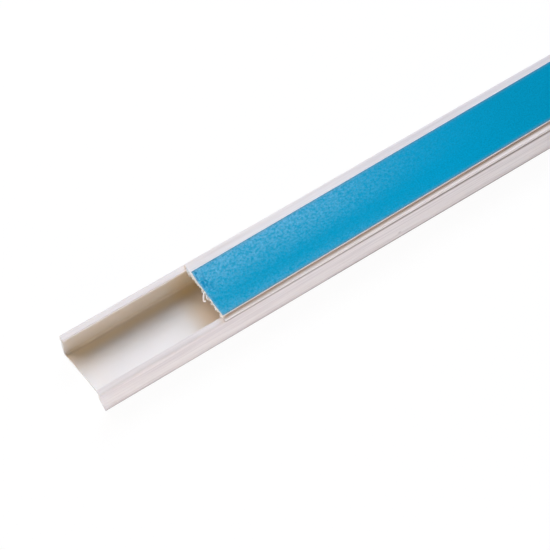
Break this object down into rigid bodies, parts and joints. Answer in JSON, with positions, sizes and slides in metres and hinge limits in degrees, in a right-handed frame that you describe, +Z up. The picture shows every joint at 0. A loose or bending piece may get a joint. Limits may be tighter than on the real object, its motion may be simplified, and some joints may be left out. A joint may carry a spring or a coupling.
{
  "type": "cord cover raceway",
  "caption": "white C-channel cord cover lying on its crown, with a snap-in base strip set back from one end and a blue release liner over its adhesive tape",
  "frame": {"origin": "centre of the crown face that the cover lies on", "axes": "+X along the length, away from the end where the base is set back; +Y across; +Z up, to the taped side"},
  "size_m": [0.4, 0.025, 0.0149],
  "materials": {
    "white_pvc": "extruded rigid PVC, satin, with fine lengthwise die lines",
    "foam_tape": "closed-cell foam with adhesive faces",
    "blue_liner": "satin polyethylene film, lightly crinkled"
  },
  "bodies": {
    "cover": {"cover": "white_pvc"},
    "base": {"base": "white_pvc", "adhesive_tape": "foam_tape", "release_liner": "blue_liner"}
  },
  "joints": [
    {"name": "base_slide", "type": "slide", "parent": "cover", "child": "base", "axis": [1, 0, 0], "range_m": [-0.045, 0.3]}
  ]
}
